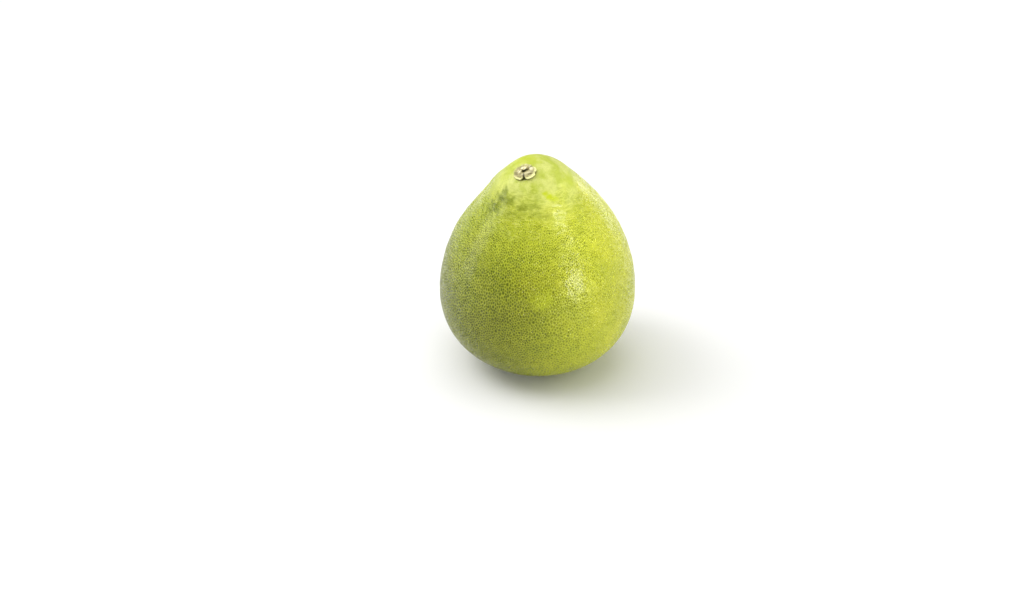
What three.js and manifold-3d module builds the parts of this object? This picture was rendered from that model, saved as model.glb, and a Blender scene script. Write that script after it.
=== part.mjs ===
// A whole pear-shaped pomelo standing on a small flat spot, with the woody calyx it hung from.
// Millimetres, +Z up, origin in the middle of the resting spot. The neck nods towards -Y.
import * as THREE from 'three';
import { mergeVertices } from 'three/addons/utils/BufferGeometryUtils.js';
import Module from 'manifold-3d';

const wasm = await Module();
wasm.setup();
const { degToRad, radToDeg, euclideanModulo, lerp, smoothstep } = THREE.MathUtils;

// Driving dimensions, in millimetres and degrees. The fruit is drawn along its own axis, from base
// to crown. A place on it is an azimuth, from +X towards +Y, and a polar angle up from the base.
const fruitWidth = 155;
const fruitLength = 187; // along the axis, before the neck bends
const pearTaper = [-0.39, -0.06, -0.32, 0.12, 0.45]; // girth against an ellipsoid's, by powers of height
const neckBend = { start: 0.5, forward: 8, left: 4 }; // it starts at this share of the length
const lean = { forward: 11, right: 1.5 }; // of the whole fruit, as it stands
const restingSpot = { x: 0.3, y: -1.5, flattened: 1.5 }; // where it touches down, off the fruit's axis

// Broad swellings and hollows make the fruit uneven, and small dents mark it. Spread is in degrees.
const swellings = [
  { name: 'left of the crown', azimuth: 137, polar: 153, spread: 9, rise: -0.7 },
  { name: 'left shoulder', azimuth: 147, polar: 132, spread: 8, rise: 1 },
  { name: 'below the left shoulder', azimuth: 165, polar: 119, spread: 10, rise: -1.7 },
  { name: 'left flank', azimuth: 161, polar: 100, spread: 12, rise: 0.5 },
  { name: 'front of the neck', azimuth: 262, polar: 140, spread: 12, rise: -0.6 },
  { name: 'right shoulder', azimuth: 320, polar: 128, spread: 16, rise: 0.5 },
  { name: 'back flank', azimuth: 75, polar: 82, spread: 30, rise: 1 },
  { name: 'back of the neck', azimuth: 98, polar: 126, spread: 18, rise: -1.2 },
  { name: 'lower shoulder dent', azimuth: 215, polar: 138.4, spread: 4.5, rise: -1.1 },
  { name: 'upper shoulder dent', azimuth: 231, polar: 151, spread: 4.5, rise: -0.9 },
  { name: 'seat of the calyx', azimuth: 222.5, polar: 170.6, spread: 10, rise: -0.6 },
  { name: 'scar of the blossom', azimuth: 0, polar: 0, spread: 3.5, rise: -1.6 },
];

// The rind's oil glands are pits in a raised net, larger than life, uneven, and fainter up the neck.
const pits = { rows: 13, depth: 0.6, neckDepth: 0.15, fullBelow: 118, faintAbove: 150, stray: 1.1, seed: 7 };

// The calyx is a disc of five uneven lobes round the stub of the stem, a gap clear of the rind.
const calyx = { azimuth: 222.5, polar: 170.6, width: 18.8, depth: 15, gap: 0.3, segments: 72 };
const notches = [
  { angle: -94, width: 11, depth: 0.48 },
  { angle: -12, width: 10, depth: 0.12 },
  { angle: 40, width: 7, depth: 0.3 },
  { angle: 114, width: 10, depth: 0.14 },
  { angle: 180, width: 9, depth: 0.2 },
];
const notchReach = 0.42; // the notches stop at this share of the radius
// The stub is an oval inside a share of the radius, set towards the back by another share.
const stemStub = { reach: 0.45, wider: 0.85, narrower: 0.6, back: 0.3 };
// Half of the calyx's section, from under its middle round the rim to the pith in the stub, as
// shares of the radius and heights above the rind.
const calyxSection = [
  [0, 0], [0.35, 0], [0.65, 0], [0.86, 0], [0.96, 0.4], [1, 1], [0.985, 1.6], [0.93, 2.05],
  [0.85, 2.2], [0.75, 2.05], [0.64, 1.95], [0.53, 1.85], [0.44, 1.5], [0.37, 1.4], [0.33, 2],
  [0.28, 2.9], [0.21, 3.15], [0.14, 2.9], [0.07, 2.1], [0, 1.9],
];

const xAxis = new THREE.Vector3(1, 0, 0);
const yAxis = new THREE.Vector3(0, 1, 0);
const bendHeight = fruitLength * neckBend.start;

// A unit vector from the fruit's middle towards a place on it.
function towards({ azimuth, polar }) {
  const across = Math.sin(degToRad(polar));
  const turn = degToRad(azimuth);
  return new THREE.Vector3(across * Math.cos(turn), across * Math.sin(turn), -Math.cos(degToRad(polar)));
}

// How far the girth departs from an ellipsoid's at a height from -1, the base, to 1, the crown.
function taperAt(height) {
  return pearTaper.reduce((sum, share, i) => sum + share * height ** (i + 1), 1);
}

const heights = Array.from({ length: 401 }, (_, i) => i / 200 - 1);
const widest = Math.max(...heights.map((h) => Math.sqrt(1 - h * h) * taperAt(h)));
const girthScale = fruitWidth / 2 / widest;
for (const swelling of swellings) swelling.direction = towards(swelling);

// Tips a point forward and to the left about the place where the neck bends.
function tip(point, forward, left) {
  return point.applyAxisAngle(xAxis, degToRad(forward)).applyAxisAngle(yAxis, -degToRad(left));
}

// The smooth rind in a direction from the fruit's middle: pear, swellings, bent neck and lean.
function rindPoint(direction) {
  const girth = girthScale * taperAt(direction.z);
  const height = (fruitLength * (1 + direction.z)) / 2 - bendHeight;
  const point = new THREE.Vector3(direction.x * girth, direction.y * girth, height);
  for (const swelling of swellings) {
    const away = radToDeg(direction.angleTo(swelling.direction)) / swelling.spread;
    point.addScaledVector(direction, swelling.rise * Math.exp(-away * away));
  }
  const bend = smoothstep(point.z, 0, fruitLength - bendHeight);
  tip(point, neckBend.forward * bend, neckBend.left * bend);
  return tip(point, lean.forward, -lean.right);
}

// The outward normal of the smooth rind in a direction.
function rindNormal(direction) {
  const step = 0.01;
  const beside = (tangent, reach) => rindPoint(direction.clone().addScaledVector(tangent, reach).normalize());
  const slope = (tangent) => beside(tangent, step).sub(beside(tangent, -step));
  const side = direction.clone().cross(Math.abs(direction.x) < 0.9 ? xAxis : yAxis).normalize();
  return slope(side).cross(slope(direction.clone().cross(side))).normalize();
}

// Keeps only the positions of a geometry and merges its shared vertices.
function weld(geometry) {
  geometry.deleteAttribute('normal');
  geometry.deleteAttribute('uv');
  return mergeVertices(geometry);
}

// Moves every vertex of a geometry to where a function of it and its number says.
function moveVertices(geometry, place) {
  const position = geometry.getAttribute('position');
  const vertex = new THREE.Vector3();
  for (let i = 0; i < position.count; i++) {
    vertex.fromBufferAttribute(position, i);
    position.setXYZ(i, ...place(vertex, i));
  }
  return geometry;
}

// A ball of even triangles, redrawn so that each of its vertices stands in a ring of new ones: a
// face's centre joins the centres of its neighbours. The old vertices come first, to be the pits.
function nettedBall(rows) {
  const ball = weld(new THREE.IcosahedronGeometry(1, rows));
  const corners = ball.index.array;
  const spots = ball.getAttribute('position');
  const positions = Array.from(spots.array);
  const faceBeside = new Map();
  const edgeKey = (from, to) => from * spots.count + to;
  for (let face = 0; face < corners.length / 3; face++) {
    const [a, b, c] = corners.slice(face * 3, face * 3 + 3);
    const centre = new THREE.Vector3();
    for (const corner of [a, b, c]) centre.add(new THREE.Vector3().fromBufferAttribute(spots, corner));
    positions.push(...centre.normalize());
    for (const [from, to] of [[a, b], [b, c], [c, a]]) faceBeside.set(edgeKey(from, to), face);
  }
  const triangles = [];
  for (const [key, face] of faceBeside) {
    const from = Math.floor(key / spots.count);
    const across = faceBeside.get(edgeKey(key % spots.count, from));
    triangles.push(from, spots.count + across, spots.count + face);
  }
  const net = new THREE.BufferGeometry();
  net.setAttribute('position', new THREE.Float32BufferAttribute(positions, 3));
  net.setIndex(triangles);
  return { net, pitCount: spots.count };
}

function toSolid(geometry) {
  const vertProperties = new Float32Array(geometry.getAttribute('position').array);
  const triVerts = new Uint32Array(geometry.index.array);
  return new wasm.Manifold(new wasm.Mesh({ numProp: 3, vertProperties, triVerts }));
}

function toGeometry(solid) {
  const { vertProperties, triVerts } = solid.getMesh();
  const geometry = new THREE.BufferGeometry();
  geometry.setAttribute('position', new THREE.BufferAttribute(vertProperties, 3));
  geometry.setIndex(new THREE.BufferAttribute(triVerts, 1));
  return geometry;
}

// Random numbers from 0 to 1 that come out the same each time.
function makeDraw(seed) {
  let state = seed;
  return () => {
    state = (Math.imul(state, 1664525) + 1013904223) >>> 0;
    return state / 2 ** 32;
  };
}

// The fruit, in one piece: the pitted rind, cut flat where it rests.
function fruitGeometry(net, pitCount, restHeight) {
  const draw = makeDraw(pits.seed);
  const stray = () => ((draw() * 2 - 1) * pits.stray) / (fruitWidth / 2);
  moveVertices(net, (vertex, i) => {
    const direction = new THREE.Vector3(stray(), stray(), stray()).add(vertex).normalize();
    if (i >= pitCount) return rindPoint(direction);
    const polar = radToDeg(Math.acos(-direction.z));
    const depth = lerp(pits.depth, pits.neckDepth, smoothstep(polar, pits.fullBelow, pits.faintAbove));
    return rindPoint(direction).addScaledVector(rindNormal(direction), -depth * (0.5 + draw()));
  });
  const ground = new THREE.BoxGeometry(fruitWidth, fruitWidth, fruitWidth);
  ground.translate(restingSpot.x, restingSpot.y, restHeight - fruitWidth / 2);
  return toGeometry(toSolid(net).subtract(toSolid(weld(ground))));
}

// The calyx, laid over the crown: a turned section, notched into lobes and bent to the rind.
function calyxGeometry() {
  const section = calyxSection.map(([share, height]) => new THREE.Vector2(share, height));
  const disc = new THREE.LatheGeometry(section, calyx.segments);
  disc.rotateX(Math.PI / 2);
  const middle = towards(calyx);
  const right = xAxis.clone().addScaledVector(middle, -xAxis.dot(middle)).normalize();
  const back = new THREE.Vector3().crossVectors(middle, right);
  const crownRadius = girthScale * taperAt(1);
  return moveVertices(weld(disc), ({ x, y, z }) => {
    const share = Math.hypot(x, y);
    const angle = radToDeg(Math.atan2(y, x));
    let cut = 0;
    for (const notch of notches) {
      const away = (euclideanModulo(angle - notch.angle + 180, 360) - 180) / notch.width;
      cut += notch.depth * Math.exp(-away * away) * smoothstep(share, notchReach, 1);
    }
    const oval = 1 - smoothstep(share, stemStub.reach - 0.1, stemStub.reach + 0.15);
    const aside = (x * (1 - cut) * lerp(1, stemStub.wider, oval) * calyx.width) / 2;
    const backShare = y * (1 - cut) * lerp(1, stemStub.narrower, oval) + stemStub.back * oval;
    const behind = (backShare * calyx.depth) / 2;
    const direction = middle.clone().addScaledVector(right, aside / crownRadius)
      .addScaledVector(back, behind / crownRadius).normalize();
    return rindPoint(direction).addScaledVector(rindNormal(direction), calyx.gap + z * (1 - cut));
  });
}

function makeMesh(name, geometry, material) {
  geometry.computeVertexNormals();
  const mesh = new THREE.Mesh(geometry, material);
  mesh.name = name;
  return mesh;
}

const rindMaterial = new THREE.MeshStandardMaterial({ color: 0xb4bf48, roughness: 0.42, metalness: 0 });
const calyxMaterial = new THREE.MeshStandardMaterial({ color: 0xc9c47f, roughness: 0.75, metalness: 0 });

const { net, pitCount } = nettedBall(pits.rows);
const smoothRind = moveVertices(net.clone(), rindPoint);
smoothRind.computeBoundingBox();
const restHeight = smoothRind.boundingBox.min.z + restingSpot.flattened;

const pomelo = new THREE.Group();
pomelo.add(makeMesh('fruit', fruitGeometry(net, pitCount, restHeight), rindMaterial));
pomelo.add(makeMesh('calyx', calyxGeometry(), calyxMaterial));
pomelo.position.set(-restingSpot.x, -restingSpot.y, -restHeight);

export default pomelo;
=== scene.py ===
import math
import random

import bmesh
import bpy
from mathutils import Matrix, Vector, noise


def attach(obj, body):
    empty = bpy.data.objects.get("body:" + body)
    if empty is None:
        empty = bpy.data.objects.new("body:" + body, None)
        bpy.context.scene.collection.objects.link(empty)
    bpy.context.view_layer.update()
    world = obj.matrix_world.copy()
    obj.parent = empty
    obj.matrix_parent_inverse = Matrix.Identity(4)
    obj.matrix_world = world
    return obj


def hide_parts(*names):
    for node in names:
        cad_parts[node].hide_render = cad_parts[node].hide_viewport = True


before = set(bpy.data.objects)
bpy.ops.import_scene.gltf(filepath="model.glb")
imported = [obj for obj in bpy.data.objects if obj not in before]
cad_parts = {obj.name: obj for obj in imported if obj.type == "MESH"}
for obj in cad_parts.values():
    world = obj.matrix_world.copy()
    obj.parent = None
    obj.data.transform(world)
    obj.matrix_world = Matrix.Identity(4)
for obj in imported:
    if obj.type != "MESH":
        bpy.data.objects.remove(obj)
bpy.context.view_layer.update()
mm = 0.001  # lengths below are in millimetres, angles in degrees
print("frame loaded, nodes:", sorted(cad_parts))

# Camera: it stands a metre off and looks 27 degrees down, as in the photograph.
view = {
    "distance": 1000,
    "elevation": 27,
    "lens": 45.15,
    "imageSize": (1024, 614),
    "sensor": 36,
    "fruitMiddle": (0, 0, 94),  # this point of the fruit ...
    "middlePixel": (538.5, 253),  # ... shows at this pixel
}


def makeCamera():
    tilt = math.radians(view["elevation"])
    middle = Vector(view["fruitMiddle"]) * mm
    away = Vector((0, -math.cos(tilt), math.sin(tilt)))
    across = Vector((1, 0, 0))
    upward = across.cross(-away)
    focal = view["lens"] / view["sensor"] * view["imageSize"][0]
    right = (view["middlePixel"][0] - view["imageSize"][0] / 2) / focal
    down = (view["middlePixel"][1] - view["imageSize"][1] / 2) / focal
    reach = view["distance"] * mm
    aim = middle - across * right * reach + upward * down * reach  # what the image centre shows
    data = bpy.data.cameras.new("camera")
    data.lens = view["lens"]
    data.sensor_width = view["sensor"]
    data.clip_start = 0.01
    camera = bpy.data.objects.new("camera", data)
    camera.location = middle + away * reach
    camera.rotation_euler = (aim - camera.location).to_track_quat("-Z", "Y").to_euler()
    bpy.context.collection.objects.link(camera)
    bpy.context.scene.camera = camera


# The fruit's form: a pear along its own axis, bent at the neck, uneven, and leaning.
fruitForm = {
    "width": 155,
    "length": 187,
    "taper": (-0.39, -0.06, -0.32, 0.12, 0.45),  # girth against an ellipsoid's, by powers of height
    "bendStart": 0.5,  # share of the length
    "bendForward": 8,
    "bendLeft": 4,
    "leanForward": 11,
    "leanRight": 1.5,
    "restX": 0.3,
    "restY": -1.5,
    "flattened": 1.5,  # of the base, where it rests
}

# Places on the fruit are an azimuth from +X towards +Y and a polar angle up from the base.
swellings = (  # azimuth, polar angle, spread, rise
    (137, 153, 9, -0.7),  # left of the crown
    (147, 132, 8, 1),  # left shoulder
    (165, 119, 10, -1.7),  # below the left shoulder
    (161, 100, 12, 0.5),  # left flank
    (262, 140, 12, -0.6),  # front of the neck
    (320, 128, 16, 0.5),  # right shoulder
    (75, 82, 30, 1),  # back flank
    (98, 126, 18, -1.2),  # back of the neck
    (215, 138.4, 4.5, -1.1),  # lower shoulder dent
    (231, 151, 4.5, -0.9),  # upper shoulder dent
    (222.5, 170.6, 10, -0.6),  # seat of the calyx
    (0, 0, 3.5, -1.6),  # scar of the blossom
)


def towards(azimuth, polar):
    across = math.sin(math.radians(polar))
    turn = math.radians(azimuth)
    return Vector((across * math.cos(turn), across * math.sin(turn), -math.cos(math.radians(polar))))


def smooth(low, high, value):
    share = min(1, max(0, (value - low) / (high - low)))
    return share * share * (3 - 2 * share)


def mix(low, high, share):
    return low + (high - low) * share


def taperAt(height):
    return 1 + sum(share * height ** (i + 1) for i, share in enumerate(fruitForm["taper"]))


heights = [i / 200 - 1 for i in range(401)]
girthScale = fruitForm["width"] / 2 / max(math.sqrt(1 - h * h) * taperAt(h) for h in heights)
bendHeight = fruitForm["length"] * fruitForm["bendStart"]
swellingPlaces = [(towards(azimuth, polar), math.radians(spread), rise)
                  for azimuth, polar, spread, rise in swellings]


def spotAt(direction, place, spread):
    away = math.acos(max(-1, min(1, direction.dot(place)))) / spread
    return math.exp(-away * away) if away < 3 else 0


def tip(point, forward, left):
    turned = Matrix.Rotation(-math.radians(left), 3, "Y") @ Matrix.Rotation(math.radians(forward), 3, "X")
    return turned @ point


def rindPoint(direction):
    girth = girthScale * taperAt(direction.z)
    height = fruitForm["length"] * (1 + direction.z) / 2 - bendHeight
    point = Vector((direction.x * girth, direction.y * girth, height))
    for place, spread, rise in swellingPlaces:
        point += direction * (rise * spotAt(direction, place, spread))
    bend = smooth(0, fruitForm["length"] - bendHeight, point.z)
    point = tip(point, fruitForm["bendForward"] * bend, fruitForm["bendLeft"] * bend)
    return tip(point, fruitForm["leanForward"], -fruitForm["leanRight"])


# The skin: oil glands in a raised net, fading up the neck, and fine wrinkles round the neck.
skin = {
    "ballSteps": 3,
    "glandCuts": 11,  # the glands lie at the vertices that these cuts make
    "turnedShare": 0.22,  # of the edges between glands, so that they stand in no rows
    "evenings": 14,  # rounds of smoothing after that
    "stray": 0.13,  # of each vertex, so that the mesh shows no rows either
    "glandDepth": 0.24,
    "inGland": (0.6, 1.2),  # shares of that depth: least and most in a gland ...
    "betweenGlands": (-0.1, 0.15),  # ... and between glands
    "glandPatches": 0.6,  # how much their depth changes from patch to patch
    "glandPatchSize": 4,
    "patches": ((14, 9), (5, 4)),  # their size, and how many degrees they shift the angles below
    "fade": (119, 156),  # polar angles between which the glands fade up the neck
    "neckShare": 0.2,  # how much of them is left there
    "pale": (131, 157),  # polar angles between which the neck turns pale
    "calm": (0.3, 0.85),  # shares of the way to the right between which the speckle grows calm
    "calmShare": 0.4,  # how much of the speckle is left there
    "low": (70, 150),  # heights between which the speckle and the painted shade towards the base change
    "lowShare": 0.42,  # how much of the speckle is left towards the base
    "lowShadeShare": 0.36,  # how much of the painted shade towards the base reaches the right side
    "swell": 0.2,
    "swellSize": 9,
    "wrinkleRise": 0.16,
    "wrinkleSize": 2.2,
    "aroundScale": 0.12,  # of the wrinkles' noise round the neck, which draws them out
    "wrinkleFoot": (124, 134),  # polar angles where the wrinkles begin ...
    "wrinkleTop": (152, 158),  # ... and end
    "wrinkleFront": (0.1, 0.45),  # shares of the way to the front between which they begin
    "toneMiddle": 0.46,  # 0 is green and 1 yellow
    # yellower to the right: partly the fruit's own colour, partly painted light on its lit right side
    "toneRight": 0.42,
    "toneNeck": 0.2,
    "tonePatches": 0.25,
    "tonePatchSize": 22,
    "scar": (2.2, 5.5),  # polar angles between which the scar at the base ends
    "covered": (0.82, 0.97),  # shares of the calyx's radius between which the painted shade on the rind under it ends
    "seed": 11,
}

# Marks on the skin: a place in millimetres, how wide and how high it is, and how strong.
darkMarks = (
    ((-26, -37, 162), 3, 5, 0.95),
    ((-28, -36, 157), 6, 4, 1),
    ((-23, -42, 158), 5, 4, 0.85),
    ((-33, -34, 149), 7, 5, 1),
    ((-37, -30, 146), 5, 4, 0.7),
    ((-30, -38, 151), 13, 9, 0.22),
    ((-42, -45, 111), 20, 14, 0.35),
    ((-38, -26, 152), 9, 6, 0.1),
    ((-12, -48, 155), 5, 2.6, 0.75),
    ((-4, -49, 157), 6, 1.8, 0.4),
    ((2, -50, 150), 12, 2.2, 0.35),
    ((-20, -46, 148), 9, 4, 0.4),
    ((-44, -32, 138), 12, 4, 0.12),
    ((28, -30, 157), 9, 3, 0.2),
    ((42, 26, 128), 9, 5, 0.35),
    ((-20, 52, 118), 12, 6, 0.3),
)
brightMarks = (
    ((4.5, -46, 165.5), 2.8, 2, 0.95),
    ((7, -46, 163.5), 2.8, 2, 1),
    ((10, -45, 161), 3.4, 1.8, 0.95),
    ((-9, -20, 181), 9, 5, 0.6),
    ((21, -30, 168), 9, 5, 0.35),
    ((3, -67, 89), 9, 7, 0.3),
    ((-12, 44, 140), 8, 4, 0.6),
)


def markAt(point, marks):
    ragged = noise.noise(point / 3.2) * 0.55 + noise.noise(point / 1.5) * 0.35
    total = 0
    for place, wide, high, strength in marks:
        away = point - Vector(place)
        reach = math.hypot(math.hypot(away.x, away.y) / wide, away.z / high) + ragged
        if reach < 1.6:
            total = max(total, strength * (1 - smooth(0.35, 1.5, reach)))
    return total


def setFloats(mesh, name, values):
    layer = mesh.attributes.new(name, "FLOAT", "POINT")
    layer.data.foreach_set("value", values)


def toPiece(bm, name):
    mesh = bpy.data.meshes.new(name)
    bm.to_mesh(mesh)
    bm.free()
    mesh.polygons.foreach_set("use_smooth", [True] * len(mesh.polygons))
    piece = bpy.data.objects.new(name, mesh)
    bpy.context.collection.objects.link(piece)
    return piece


def makeRind():
    draw = random.Random(skin["seed"])
    bm = bmesh.new()
    bmesh.ops.create_icosphere(bm, subdivisions=skin["ballSteps"], radius=1)
    bmesh.ops.subdivide_edges(bm, edges=bm.edges, cuts=skin["glandCuts"], use_grid_fill=True)
    turned, taken = [], set()  # one edge of a face at most, or faces would fold
    for edge in bm.edges:
        if draw.random() < skin["turnedShare"] and taken.isdisjoint(edge.link_faces):
            turned.append(edge)
            taken.update(edge.link_faces)
    bmesh.ops.rotate_edges(bm, edges=turned, use_ccw=False)
    for _ in range(skin["evenings"]):
        for vertex in bm.verts:
            vertex.co.normalize()
        bmesh.ops.smooth_vert(bm, verts=bm.verts, factor=0.5,
                              use_axis_x=True, use_axis_y=True, use_axis_z=True)
    glandCount = len(bm.verts)  # the next cut leaves these vertices first
    bmesh.ops.subdivide_edges(bm, edges=bm.edges, cuts=1, use_grid_fill=True)
    bm.verts.index_update()
    stray = skin["stray"] / (fruitForm["width"] / 2)
    directions = []
    for vertex in bm.verts:
        shift = Vector([draw.uniform(-stray, stray) for _ in range(3)])
        directions.append((vertex.co.normalized() + shift).normalized())
    for vertex, direction in zip(bm.verts, directions):
        vertex.co = rindPoint(direction)
    ground = min(vertex.co.z for vertex in bm.verts) + fruitForm["flattened"]
    toRest = Vector((-fruitForm["restX"], -fruitForm["restY"], -ground))
    bmesh.ops.translate(bm, verts=bm.verts, vec=toRest)
    bm.normal_update()
    names = ("gland", "speckle", "neck", "tone", "lowShade", "wrinkled", "dark", "bright", "scar", "under")
    looks = {name: [] for name in names}
    for vertex, direction in zip(bm.verts, directions):
        place = vertex.co.copy()
        polar = math.degrees(math.acos(max(-1, min(1, -direction.z))))
        patchy = sum(noise.noise(place / size) * shift for size, shift in skin["patches"])
        neck = smooth(*skin["pale"], polar + patchy)
        full = mix(1, skin["neckShare"], smooth(*skin["fade"], polar + patchy))
        spread = skin["inGland"] if vertex.index < glandCount else skin["betweenGlands"]
        gland = draw.uniform(*spread)
        gland *= 1 + skin["glandPatches"] * noise.noise(place / skin["glandPatchSize"])
        wave = noise.noise(place / skin["swellSize"])
        around = skin["aroundScale"]
        height = (place.z + 3.5 * wave) / skin["wrinkleSize"]
        ringed = Vector((place.x * around, place.y * around, height))
        wrinkled = smooth(*skin["wrinkleFoot"], polar + patchy)
        wrinkled *= 1 - smooth(*skin["wrinkleTop"], polar + patchy)
        wrinkled *= smooth(*skin["wrinkleFront"], -direction.y / math.hypot(direction.x, direction.y))
        wrinkle = noise.noise(ringed) * wrinkled
        rise = skin["swell"] * wave + skin["wrinkleRise"] * wrinkle - skin["glandDepth"] * full * gland
        vertex.co += vertex.normal * rise
        vertex.co.z = max(0, vertex.co.z)
        calm = smooth(*skin["calm"], direction.x + 0.3 * noise.noise(place / 20))
        looks["gland"].append(gland * full)
        low = 1 - smooth(*skin["low"], place.z + 12 * noise.noise(place / 30))
        looks["speckle"].append(full * mix(1, skin["calmShare"], calm) * mix(1, skin["lowShare"], low))
        looks["neck"].append(neck)
        # yellower to the right: partly own colour, partly painted light on the lit right side
        tone = skin["toneMiddle"] + skin["toneRight"] * direction.x + skin["toneNeck"] * neck
        looks["tone"].append(tone + skin["tonePatches"] * noise.noise(place / skin["tonePatchSize"]))
        # painted shade towards the base, strongest on the left
        leftward = smooth(0.75, -0.5, direction.x)
        looks["lowShade"].append(low * mix(skin["lowShadeShare"], 1, leftward))
        looks["wrinkled"].append(wrinkled)
        looks["dark"].append(markAt(place, darkMarks))
        looks["bright"].append(markAt(place, brightMarks))
        # painted shade on the rind under the calyx, seen through its notches and round its edge
        looks["under"].append(1 - smooth(*skin["covered"], math.hypot(*onCalyx(direction))))
        looks["scar"].append(1 - smooth(*skin["scar"], polar + 1.5 * noise.noise(place / 3)))
    bmesh.ops.scale(bm, verts=bm.verts, vec=(mm, mm, mm))
    rind = toPiece(bm, "rind")
    for name, values in looks.items():
        setFloats(rind.data, name, values)
    return rind, toRest


# The calyx: a dried disc of uneven lobes with rolled rims, notched, round the stub of the stem.
calyxForm = {
    "azimuth": 222.5,
    "polar": 170.6,
    "width": 18.8,
    "depth": 15,
    "gap": 0.12,
    "steps": 168,
    "notchReach": 0.42,  # the notches stop at this share of the radius
    "stubReach": 0.45,  # the stub is an oval, inside this share
    "stubWider": 0.85,
    "stubNarrower": 0.6,
    "stubBack": 0.3,
    "finer": 3,  # points drawn for each one of the section
    "shadeAngle": -95,  # where the shade under the rims reaches highest
    "litAngle": -60,  # where the rims are rolled most and their painted highlight is brightest
    "rimRoll": 0.3,
    "spokes": 23,
    "spokeRise": 0.1,
    "grain": ((5, 0.6), (13, 0.4)),  # how fine it is, and its share
    "grainRise": 0.25,
}
calyxNotches = (  # angle, width, depth
    (-94, 11, 0.48),
    (-12, 10, 0.12),
    (40, 7, 0.3),
    (114, 10, 0.14),
    (180, 9, 0.2),
)
# Lumps and hollows: middle and half size in shares of the radius, turn, rise in mm, painted light where
# positive and painted shade where negative.
calyxLumps = (
    ((-0.05, 0.09), (0.15, 0.1), 15, -0.9, -1.6),  # pit where the stub broke off
    ((0.2, 0.2), (0.2, 0.07), 22, -0.5, -0.8),  # groove in front of the stub
    ((0.33, 0.42), (0.05, 0.13), 0, -0.5, -0.8),  # groove at its right
    ((-0.3, 0.36), (0.05, 0.18), -30, -0.4, -0.5),  # groove at its left
    ((0.02, 0.39), (0.25, 0.13), 12, 0.2, 1),  # the stub's cut end
    ((0.55, 0.3), (0.17, 0.26), 0, 0.3, 0.9),  # right lobe
    ((-0.4, 0.1), (0.13, 0.26), -30, 0.3, 0.9),  # left lobe
    ((-0.58, -0.2), (0.14, 0.16), 0, -0.35, -0.55),  # dry hollow in the left lobe
    ((-0.33, -0.22), (0.06, 0.08), 0, -0.2, -0.5),
    ((0.33, -0.2), (0.28, 0.08), 12, 0.4, 0.7),  # fold inside the right front lobe
    ((0.4, -0.41), (0.3, 0.05), 12, -0.5, -0.9),  # groove in front of the fold
    ((-0.1, -0.3), (0.22, 0.07), 25, 0.25, 0.6),
    ((-0.25, 0.85), (0.12, 0.08), 0, 0.2, 0.7),
    ((0.17, 0.85), (0.12, 0.08), 0, 0.2, 0.6),
)
calyxSection = (  # share of the radius, height; from under the middle round the rim to the stub
    (0, 0), (0.35, 0), (0.65, 0), (0.86, 0), (0.96, 0.4), (1, 1), (0.985, 1.6), (0.93, 2.05),
    (0.85, 2.2), (0.75, 2.05), (0.64, 1.95), (0.53, 1.85), (0.44, 1.5), (0.37, 1.4), (0.33, 2),
    (0.28, 2.9), (0.21, 3.15), (0.14, 2.9), (0.07, 2.1), (0, 1.9),
)


def finerSection(points, share):
    # Runs a smooth curve through the points, with this many steps from one to the next.
    ends = [points[0], *points, points[-1]]
    section = []
    for before, start, end, after in zip(ends, ends[1:], ends[2:], ends[3:]):
        for i in range(share):
            t = i / share
            section.append([
                b + 0.5 * t * (c - a + t * (2 * a - 5 * b + 4 * c - d + t * (3 * b - a - 3 * c + d)))
                for a, b, c, d in zip(before, start, end, after)
            ])
    return section + [points[-1]]


def calyxAxes():
    middle = towards(calyxForm["azimuth"], calyxForm["polar"])
    right = (Vector((1, 0, 0)) - middle * middle.x).normalized()
    crownRadius = girthScale * taperAt(1)
    rightwards = right * calyxForm["width"] / 2 / crownRadius
    upwards = middle.cross(right) * calyxForm["depth"] / 2 / crownRadius
    return middle, rightwards, upwards


def onCalyx(direction):
    # Where this direction passes the calyx, in shares of its radius.
    middle, rightwards, upwards = calyxAxes()
    if direction.dot(middle) < 0.5:
        return 9, 9  # the far side of the fruit
    return (direction.dot(rightwards) / rightwards.length_squared,
            direction.dot(upwards) / upwards.length_squared)


def angleBetween(angle, other):
    return (angle - other + 180) % 360 - 180


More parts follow.
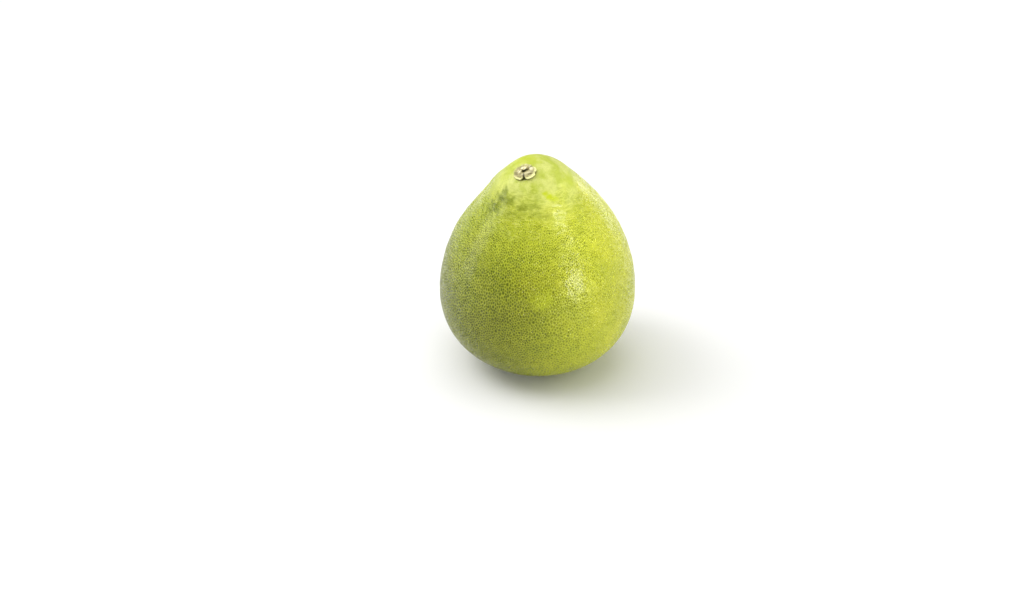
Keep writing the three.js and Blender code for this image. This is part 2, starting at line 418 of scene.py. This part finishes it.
def makeCalyx(toRest):
    form = calyxForm
    bm = bmesh.new()
    section = finerSection(calyxSection, form["finer"])
    points = [bm.verts.new((max(0, share), 0, height)) for share, height in section]
    edges = [bm.edges.new(pair) for pair in zip(points, points[1:])]
    bmesh.ops.spin(bm, geom=points + edges, cent=(0, 0, 0), axis=(0, 0, 1), angle=math.tau,
                   steps=form["steps"], use_merge=True)
    bmesh.ops.remove_doubles(bm, verts=bm.verts, dist=1e-5)
    bmesh.ops.recalc_face_normals(bm, faces=bm.faces)
    middle, rightwards, upwards = calyxAxes()
    seat = rindPoint(middle)
    alongRight = rindPoint((middle + rightwards * 0.1).normalized()) - seat
    out = alongRight.cross(rindPoint((middle + upwards * 0.1).normalized()) - seat).normalized()
    looks = {name: [] for name in ("creviceShade", "rim", "light", "woody")}
    for vertex in bm.verts:
        x, y, z = vertex.co
        share = math.hypot(x, y)
        angle = math.degrees(math.atan2(y, x))
        grain = sum(noise.noise(Vector((x * fine, y * fine, z))) * part for fine, part in form["grain"])
        cut, notched = 0, 0
        for notchAngle, width, depth in calyxNotches:
            away = angleBetween(angle + 4 * grain, notchAngle) / width
            cut += depth * math.exp(-away * away) * smooth(form["notchReach"], 1, share)
            # painted shade darkens the notches
            shade = min(1, depth * 2.5) * math.exp(-(away * 1.3) ** 2)
            notched = max(notched, shade * smooth(0.36, 0.55, share))
        oval = 1 - smooth(form["stubReach"] - 0.1, form["stubReach"] + 0.15, share)
        aside = x * (1 - cut) * mix(1, form["stubWider"], oval)
        behind = y * (1 - cut) * mix(1, form["stubNarrower"], oval) + form["stubBack"] * oval
        top = smooth(0.9, 1.5, z)
        stub = (1 - smooth(0.19, 0.27, share)) * top
        front = smooth(75, 35, abs(angleBetween(angle, form["shadeAngle"])))
        facing = smooth(120, 60, abs(angleBetween(angle, form["litAngle"])))
        rolled = smooth(0.8, 0.9, share + 0.05 * grain) * smooth(1.1, 1.6, z) * (1 - notched)
        spokes = math.sin(math.radians(angle) * form["spokes"] + 3 * grain)
        spokes *= smooth(0.42, 0.6, share) * top
        rise, light = 0, 0
        # each lump also paints light where it rises and shade where it sinks
        for (lumpX, lumpY), (wide, high), turn, lumpRise, paintedLumpLight in calyxLumps:
            turned = Matrix.Rotation(-math.radians(turn), 2) @ Vector((aside - lumpX, behind - lumpY))
            across = (turned.x + 0.04 * grain) / wide
            along = (turned.y + 0.04 * grain) / high
            inLump = math.exp(-across * across - along * along)
            rise += lumpRise * inLump * top
            light += paintedLumpLight * inLump * top * (1 - stub)
        height = z * (1 - 0.6 * cut) + form["rimRoll"] * rolled * facing + rise
        height += form["spokeRise"] * spokes + form["grainRise"] * grain * top
        direction = middle + rightwards * aside + upwards * behind
        vertex.co = (rindPoint(direction.normalized()) + toRest + out * (form["gap"] + max(0, height))) * mm
        # painted shade low on the calyx, under its rims where it meets the rind
        under = 1 - smooth(0.5, mix(0.8, 1.8, front), z)
        # painted highlight on the stub's cut top
        light += stub
        # painted shade: in the notches, in the hollows where light is below zero, and under the rims
        looks["creviceShade"].append(min(1, max(notched, -1.2 * light, 0.9 * under)))
        # the rims' pale colour: partly their own paleness, partly painted highlight on the side facing the
        # light
        looks["rim"].append(min(1, rolled * mix(0.2, 1, facing)))
        # painted highlight on the raised lumps and the stub's top
        looks["light"].append(min(1, max(0, light)))
        looks["woody"].append(1 - smooth(0.62, 0.95, share) * smooth(-0.2, 0.5, y))
    piece = toPiece(bm, "stemCalyx")
    for name, values in looks.items():
        setFloats(piece.data, name, values)
    return piece


makeCamera()
print("camera placed")
rind, toRest = makeRind()
print("rind made,", len(rind.data.polygons), "faces")
stemCalyx = makeCalyx(toRest)
print("calyx made,", len(stemCalyx.data.polygons), "faces")


# Short ways to add the nodes that the materials share.
def makeMaterial(name):
    material = bpy.data.materials.new(name)
    material.use_nodes = True
    return material, material.node_tree.nodes["Principled BSDF"]


def addNode(material, kind, inputs, **settings):
    node = material.node_tree.nodes.new(kind)
    for name, value in settings.items():
        setattr(node, name, value)
    for name, value in inputs.items():
        if isinstance(value, bpy.types.NodeSocket):
            material.node_tree.links.new(value, node.inputs[name])
        else:
            node.inputs[name].default_value = value
    return node


def attribute(material, name):
    return addNode(material, "ShaderNodeAttribute", {}, attribute_name=name).outputs["Fac"]


def noiseOf(material, size, detail=2, place=None):
    # Noise on the piece's own coordinates, with lumps of about this many millimetres.
    if place is None:
        place = addNode(material, "ShaderNodeTexCoord", {}).outputs["Object"]
    inputs = {"Vector": place, "Scale": 1 / (size * mm), "Detail": detail}
    return addNode(material, "ShaderNodeTexNoise", inputs).outputs["Fac"]


def mapRange(material, value, low, high, outLow=0, outHigh=1):
    inputs = {"Value": value, "From Min": low, "From Max": high, "To Min": outLow, "To Max": outHigh}
    return addNode(material, "ShaderNodeMapRange", inputs).outputs["Result"]


def calculate(material, operation, first, second):
    node = addNode(material, "ShaderNodeMath", {0: first, 1: second}, operation=operation)
    return node.outputs["Value"]


def mixColour(material, first, second, share, blend="MIX"):
    node = addNode(material, "ShaderNodeMix", {"Factor": share}, data_type="RGBA", blend_type=blend)
    sockets = [socket for socket in node.inputs if socket.type == "RGBA"]
    for socket, colour in zip(sockets, (first, second)):
        if isinstance(colour, bpy.types.NodeSocket):
            material.node_tree.links.new(colour, socket)
        else:
            socket.default_value = (*colour, 1)
    return next(socket for socket in node.outputs if socket.type == "RGBA")


rindLook = {
    "green": (0.26, 0.345, 0.012),
    "yellow": (0.62, 0.64, 0.035),
    "neck": (0.68, 0.72, 0.24),
    "mottle": (0.75, 0.78, 0.45),
    "blotch": (0.74, 0.81, 0.38),  # on the crown
    "lowShade": (0.24, 0.245, 0.0),  # painted shade: multiplies the colour towards the base
    "pit": (0.22, 0.29, 0.02),  # multiplies the colour in a gland's pit
    "net": (0.78, 0.82, 0.06),
    "crestHighlight": (0.8, 0.84, 0.2),  # painted highlight on the wrinkles' ridges
    "troughShade": (0.6, 0.66, 0.3),  # painted shade: multiplies the colour between them
    "darkMark": (0.38, 0.43, 0.0),  # multiplies it too
    "brightMark": (0.52, 0.6, 0.012),
    "scar": (0.2, 0.13, 0.05),
    "under": (0.05, 0.06, 0.002),  # painted shade on the rind that the calyx covers
    "neckPaleness": 0.85,
    "patchSize": 16,  # sizes are in millimetres
    "mottleSize": 3.6,
    "mottleShare": 0.45,
    "blotchSize": 9,
    "pitShare": 0.95,
    "netShare": 0.6,
    "poreSize": 1.1,
    "poreShare": 0.4,
    "lineSize": 2.5,
    "lineDrawnOut": (0.3, 0.3, 1),
    "crestHighlightShare": 0.38,
    "troughShadeShare": 0.32,
    "raggedSize": 2.2,
    "waxSize": 7,
    "fineSize": 0.7,
    "fineShare": 0.35,
    "roughness": 0.22,
    "neckRoughness": 0.62,
    "specular": 0.42,
    "specularTint": (1, 1, 0.4),
    "coat": 0.19,
    "coatRoughness": 0.18,
    "bumpReach": 0.37,
}


def rindMaterial():
    look = rindLook
    material, shader = makeMaterial("waxyRind")
    gland = attribute(material, "gland")
    neck = attribute(material, "neck")
    speckle = attribute(material, "speckle")
    patches = noiseOf(material, look["patchSize"], 3)
    patchy = mapRange(material, patches, 0.3, 0.7, -0.15, 0.15)
    tone = calculate(material, "ADD", attribute(material, "tone"), patchy)
    colour = mixColour(material, look["green"], look["yellow"], tone)
    paleness = calculate(material, "MULTIPLY", neck, look["neckPaleness"])
    colour = mixColour(material, colour, look["neck"], paleness)
    lumps = noiseOf(material, look["mottleSize"], 3)
    mottle = mapRange(material, lumps, 0.35, 0.65, 0, look["mottleShare"])
    colour = mixColour(material, colour, look["mottle"], mottle, "MULTIPLY")
    blotch = mapRange(material, noiseOf(material, look["blotchSize"], 4), 0.42, 0.6)
    blotch = calculate(material, "MULTIPLY", blotch, neck)
    colour = mixColour(material, colour, look["blotch"], blotch, "MULTIPLY")
    # painted shade darkens the colour towards the base and the left
    colour = mixColour(material, colour, look["lowShade"], attribute(material, "lowShade"), "MULTIPLY")
    inPit = mapRange(material, gland, 0.38, 0.95, 0, look["pitShare"])
    pit = calculate(material, "MULTIPLY", inPit, speckle)
    colour = mixColour(material, colour, look["pit"], pit, "MULTIPLY")
    net = calculate(material, "MULTIPLY", mapRange(material, gland, 0.3, 0, 0, look["netShare"]), speckle)
    colour = mixColour(material, colour, look["net"], net)
    # finer pores between the glands
    place = addNode(material, "ShaderNodeTexCoord", {}).outputs["Object"]
    inputs = {"Vector": place, "Scale": 1 / (look["poreSize"] * mm)}
    cells = addNode(material, "ShaderNodeTexVoronoi", inputs)
    pore = mapRange(material, cells.outputs["Distance"], 0.1, 0.5, look["poreShare"], 0)
    pore = calculate(material, "MULTIPLY", pore, mapRange(material, speckle, 0, 1, 0.3, 1))
    colour = mixColour(material, colour, look["pit"], pore, "MULTIPLY")
    # wrinkles run round the neck: thin pale lines of painted highlight on their ridges and painted shade
    # between them, from a noise drawn out sideways
    inputs = {"Vector": place, "Scale": look["lineDrawnOut"]}
    drawnOut = addNode(material, "ShaderNodeMapping", inputs).outputs["Vector"]
    inputs = {"Vector": drawnOut, "Scale": 1 / (look["lineSize"] * mm), "Detail": 1, "Distortion": 0.8}
    lines = addNode(material, "ShaderNodeTexNoise", inputs).outputs["Fac"]
    offLine = calculate(material, "ABSOLUTE", calculate(material, "SUBTRACT", lines, 0.5), 0)
    wrinkled = attribute(material, "wrinkled")
    onLine = mapRange(material, offLine, 0.05, 0, 0, look["crestHighlightShare"])
    line = calculate(material, "MULTIPLY", onLine, wrinkled)
    between = mapRange(material, offLine, 0.06, 0.14, 0, look["troughShadeShare"])
    between = calculate(material, "MULTIPLY", between, wrinkled)
    # painted highlight on the wrinkles' ridges and painted shade between them
    colour = mixColour(material, colour, look["crestHighlight"], line)
    colour = mixColour(material, colour, look["troughShade"], between, "MULTIPLY")
    ragged = mapRange(material, noiseOf(material, look["raggedSize"], 3), 0.3, 0.6, 0.65, 1)
    dark = calculate(material, "MULTIPLY", attribute(material, "dark"), ragged)
    colour = mixColour(material, colour, look["darkMark"], dark, "MULTIPLY")
    colour = mixColour(material, colour, look["brightMark"], attribute(material, "bright"))
    colour = mixColour(material, colour, look["scar"], attribute(material, "scar"))
    # painted shade on the rind under the calyx
    colour = mixColour(material, colour, look["under"], attribute(material, "under"))
    material.node_tree.links.new(colour, shader.inputs["Base Color"])
    wax = mapRange(material, noiseOf(material, look["waxSize"], 3), 0.3, 0.7, -0.05, 0.07)
    dull = mapRange(material, neck, 0, 1, look["roughness"], look["neckRoughness"])
    material.node_tree.links.new(calculate(material, "ADD", dull, wax), shader.inputs["Roughness"])
    shader.inputs["Specular IOR Level"].default_value = look["specular"]
    shader.inputs["Specular Tint"].default_value = (*look["specularTint"], 1)
    shader.inputs["Coat Weight"].default_value = look["coat"]
    shader.inputs["Coat Roughness"].default_value = look["coatRoughness"]
    raised = calculate(material, "SUBTRACT", 1, gland)
    fine = calculate(material, "MULTIPLY", noiseOf(material, look["fineSize"]), look["fineShare"])
    height = calculate(material, "ADD", raised, fine)
    inputs = {"Height": height, "Strength": 1, "Distance": look["bumpReach"] * mm}
    bump = addNode(material, "ShaderNodeBump", inputs)
    material.node_tree.links.new(bump.outputs["Normal"], shader.inputs["Normal"])
    return material


calyxLook = {
    "wood": (0.62, 0.55, 0.25),
    "bark": (0.4, 0.35, 0.13),
    "skin": (0.6, 0.62, 0.16),  # where the back lobes run out into the rind
    "streak": (0.62, 0.6, 0.5),  # multiplies the wood along its grain
    # rolled rims: partly pale in themselves, partly painted highlight on the lit side
    "rim": (0.95, 0.95, 0.4),
    # painted highlight on the raised lumps and the stub's top
    "light": (1, 0.94, 0.6),
    # painted shade in the notches, hollows and pit and under the rims
    "creviceShade": (0.03, 0.028, 0.002),
    "grainSize": 1.1,
    "barkSize": 3.2,
    "roughness": 0.55,
    "bumpReach": 0.2,
}


def calyxMaterial():
    look = calyxLook
    material, shader = makeMaterial("driedCalyx")
    grain = noiseOf(material, look["grainSize"], 4)
    barked = mapRange(material, noiseOf(material, look["barkSize"], 3), 0.42, 0.62)
    colour = mixColour(material, look["wood"], look["bark"], barked)
    colour = mixColour(material, look["skin"], colour, attribute(material, "woody"))
    streaked = mapRange(material, grain, 0.35, 0.7, 0.5, 0)
    colour = mixColour(material, colour, look["streak"], streaked, "MULTIPLY")
    # painted highlight on the raised lumps and the stub's top
    paintedHighlight = mapRange(material, attribute(material, "light"), 0, 0.9)
    colour = mixColour(material, colour, look["light"], paintedHighlight)
    # rims: partly their own paleness, partly painted highlight on the side facing the light
    rolled = mapRange(material, attribute(material, "rim"), 0.2, 0.9, 0, 0.9)
    colour = mixColour(material, colour, look["rim"], rolled)
    # painted shade in the calyx's crevices
    colour = mixColour(material, colour, look["creviceShade"], attribute(material, "creviceShade"))
    material.node_tree.links.new(colour, shader.inputs["Base Color"])
    shader.inputs["Roughness"].default_value = look["roughness"]
    inputs = {"Height": grain, "Strength": 0.8, "Distance": look["bumpReach"] * mm}
    bump = addNode(material, "ShaderNodeBump", inputs)
    material.node_tree.links.new(bump.outputs["Normal"], shader.inputs["Normal"])
    return material


rind.data.materials.append(rindMaterial())
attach(rind, "root")
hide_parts("fruit")
stemCalyx.data.materials.append(calyxMaterial())
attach(stemCalyx, "root")
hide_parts("calyx")
print("materials made")

# The studio: a pale floor, even light from above and all round, and soft boxes at the sides.
studio = {
    "floorSize": 6,
    "floorColour": (0.9, 0.9, 0.9),
    "floorRoughness": 0.8,
    "worldStrength": 0.42,
    "overhead": 1.5,
    "overheadSpread": 80,
    "overheadTurn": (-12, -14),
}
softBoxes = {  # place in metres, width, height, power in watts
    "key": ((0.92, -0.92, 0.06), 0.45, 0.36, 12.5),
    "right": ((1.4, 0.1, 0.9), 1.1, 1.1, 4.7),
    "left": ((-1.1, 0.15, 1.25), 1.0, 1.0, 11.2),
    "lowLeft": ((-1.3, 0.05, 0.18), 0.45, 0.6, 4),
    "rim": ((0.9, 1.1, 0.1), 0.6, 0.2, 1.5),
}


def addSoftBox(name, place, width, height, power):
    data = bpy.data.lights.new(name, "AREA")
    data.energy = power
    data.shape = "RECTANGLE"
    data.size = width
    data.size_y = height
    light = bpy.data.objects.new(name, data)
    light.location = place
    aim = Vector(view["fruitMiddle"]) * mm
    light.rotation_euler = (aim - light.location).to_track_quat("-Z", "Y").to_euler()
    bpy.context.collection.objects.link(light)


bpy.ops.mesh.primitive_plane_add(size=studio["floorSize"])
floor = bpy.context.object
floor.name = "floor"
paleFloor, shader = makeMaterial("paleFloor")
shader.inputs["Base Color"].default_value = (*studio["floorColour"], 1)
shader.inputs["Roughness"].default_value = studio["floorRoughness"]
floor.data.materials.append(paleFloor)

scene = bpy.context.scene
scene.view_settings.view_transform = "Standard"
world = bpy.data.worlds.new("studio")
world.use_nodes = True
world.node_tree.nodes["Background"].inputs["Color"].default_value = (1, 1, 1, 1)
world.node_tree.nodes["Background"].inputs["Strength"].default_value = studio["worldStrength"]
scene.world = world
for name, (place, width, height, power) in softBoxes.items():
    addSoftBox(name, place, width, height, power)
data = bpy.data.lights.new("overhead", "SUN")
data.energy = studio["overhead"]
data.angle = math.radians(studio["overheadSpread"])
overhead = bpy.data.objects.new("overhead", data)
overhead.rotation_euler = [math.radians(turn) for turn in (*studio["overheadTurn"], 0)]
bpy.context.collection.objects.link(overhead)
print("studio lit")
